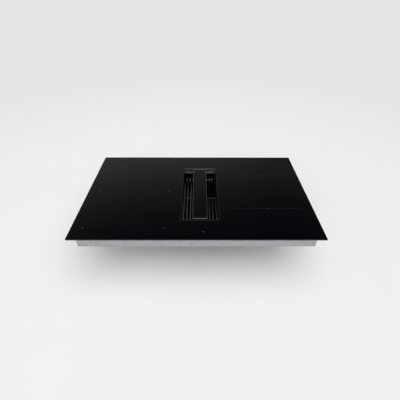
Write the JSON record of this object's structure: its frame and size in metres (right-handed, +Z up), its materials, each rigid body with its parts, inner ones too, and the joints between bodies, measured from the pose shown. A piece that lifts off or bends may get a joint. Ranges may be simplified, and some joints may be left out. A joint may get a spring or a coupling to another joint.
{
  "type": "downdraft induction cooktop",
  "caption": "Black glass induction cooktop with a lift-off centre cover over two air slots, a removable grease filter, a drip trough and a built-in blower.",
  "frame": {"origin": "under the middle of the glass, on the plane that the blower case stands on", "axes": "+X to the right, +Y to the back, +Z up out of the glass"},
  "size_m": [0.83, 0.515, 0.212],
  "materials": {
    "glass": "polished black ceramic glass",
    "seal": "soft foam",
    "collar": "dark anodised, satin",
    "trim": "brushed",
    "steel": "satin",
    "graphite": "graphite-grey coated, satin",
    "zinc": "galvanised sheet",
    "black": "matt moulded",
    "grey": "matt moulded",
    "white": "matt moulded",
    "mica": "matt",
    "copper": "enamelled wire",
    "aluminium": "mill finish",
    "circuit": "lacquered board",
    "rubber": "matt"
  },
  "bodies": {
    "hob": {"glass_top": "glass", "edge_seal": "seal", "vent_collar": "collar", "collar_seal": "seal", "plenum": "black", "coil_tray": "zinc", "tray_floor": "zinc", "heat_mat_front_left": "mica", "coil_front_left": "copper", "coil_carrier_front_left": "grey", "heat_sensor_front_left": "aluminium", "mounting_clamp_front_left": "steel", "heat_mat_rear_left": "mica", "coil_rear_left": "copper", "coil_carrier_rear_left": "grey", "heat_sensor_rear_left": "aluminium", "mounting_clamp_rear_left": "steel", "power_board_left": "circuit", "heat_sink_left": "aluminium", "fan_frame_left": "black", "heat_mat_front_right": "mica", "coil_front_right": "copper", "coil_carrier_front_right": "grey", "heat_sensor_front_right": "aluminium", "mounting_clamp_front_right": "steel", "heat_mat_rear_right": "mica", "coil_rear_right": "copper", "coil_carrier_rear_right": "grey", "heat_sensor_rear_right": "aluminium", "mounting_clamp_rear_right": "steel", "power_board_right": "circuit", "heat_sink_right": "aluminium", "fan_frame_right": "black", "control_board": "circuit", "control_holder": "white", "blower_case": "zinc", "scroll_housing": "grey", "scroll_lid": "grey", "inlet_ring": "grey", "motor": "aluminium", "outlet_spigot": "black", "terminal_box": "black", "cable_gland": "black", "scroll_buffer_1": "rubber", "scroll_buffer_2": "rubber", "scroll_buffer_3": "rubber", "scroll_buffer_4": "rubber"},
    "catch_tray": {"catch_tray": "black"},
    "filter": {"filter_frame": "graphite", "filter_base": "graphite", "filter_crossbar": "graphite", "vanes_left": "graphite", "vanes_right": "graphite", "filter_mesh": "graphite"},
    "cover": {"cover_glass": "glass", "cover_frame": "trim"},
    "blower_wheel": {"impeller": "black", "motor_shaft": "steel"},
    "cooling_rotor_left": {"fan_rotor_left": "black"},
    "cooling_rotor_right": {"fan_rotor_right": "black"}
  },
  "joints": [
    {"name": "catch_tray_lift", "type": "slide", "parent": "hob", "child": "catch_tray", "axis": [0, 0, 1], "range_m": [0, 0.14]},
    {"name": "filter_lift", "type": "slide", "parent": "catch_tray", "child": "filter", "axis": [0, 0, 1], "range_m": [0, 0.12]},
    {"name": "cover_lift", "type": "slide", "parent": "filter", "child": "cover", "axis": [0, 0, 1], "range_m": [0, 0.1]},
    {"name": "blower_spin", "type": "hinge", "parent": "hob", "child": "blower_wheel", "pos_m": [0.011, 0.0945, 0.05], "axis": [0, 0, 1], "continuous": true},
    {"name": "cooling_spin_left", "type": "hinge", "parent": "hob", "child": "cooling_rotor_left", "pos_m": [-0.1165, -0.1015, 0.17], "axis": [0, 0, 1], "continuous": true},
    {"name": "cooling_spin_right", "type": "hinge", "parent": "hob", "child": "cooling_rotor_right", "pos_m": [0.1385, -0.1015, 0.17], "axis": [0, 0, 1], "continuous": true}
  ]
}
